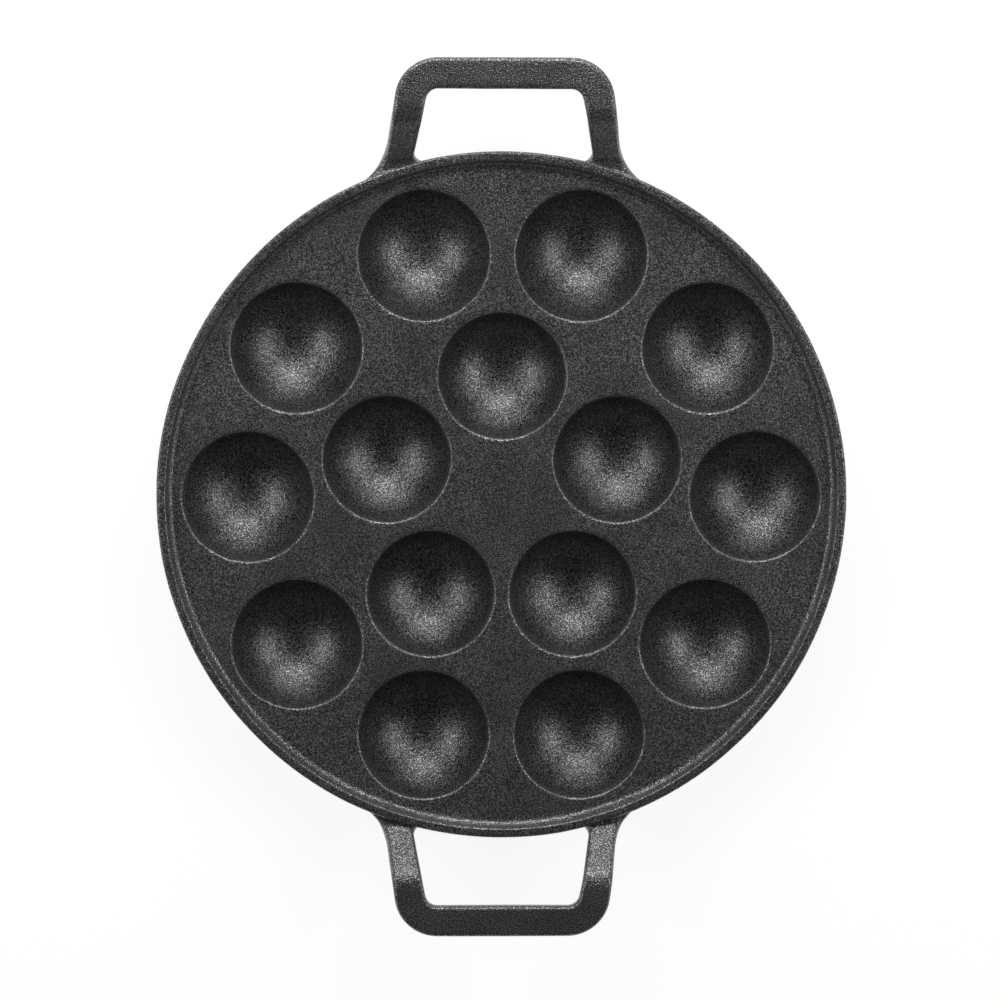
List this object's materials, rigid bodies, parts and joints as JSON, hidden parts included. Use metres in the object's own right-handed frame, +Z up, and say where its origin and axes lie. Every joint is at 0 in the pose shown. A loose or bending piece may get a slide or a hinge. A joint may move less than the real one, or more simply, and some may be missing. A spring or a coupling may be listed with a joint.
{
  "type": "paniyaram pan",
  "caption": "Round cast iron pan with a raised rim, two rings of bowl shaped cups hanging below its plate, and a strap handle at each end.",
  "frame": {"origin": "centre of the round body on the plane that the cups stand on", "axes": "+Z up out of the cups, +Y along the line through both handles, one inner cup towards +Y"},
  "size_m": [0.24, 0.3042, 0.04],
  "materials": {
    "pan": "seasoned, sand cast, satin black"
  },
  "bodies": {
    "root": {"pan": "pan"}
  },
  "joints": []
}
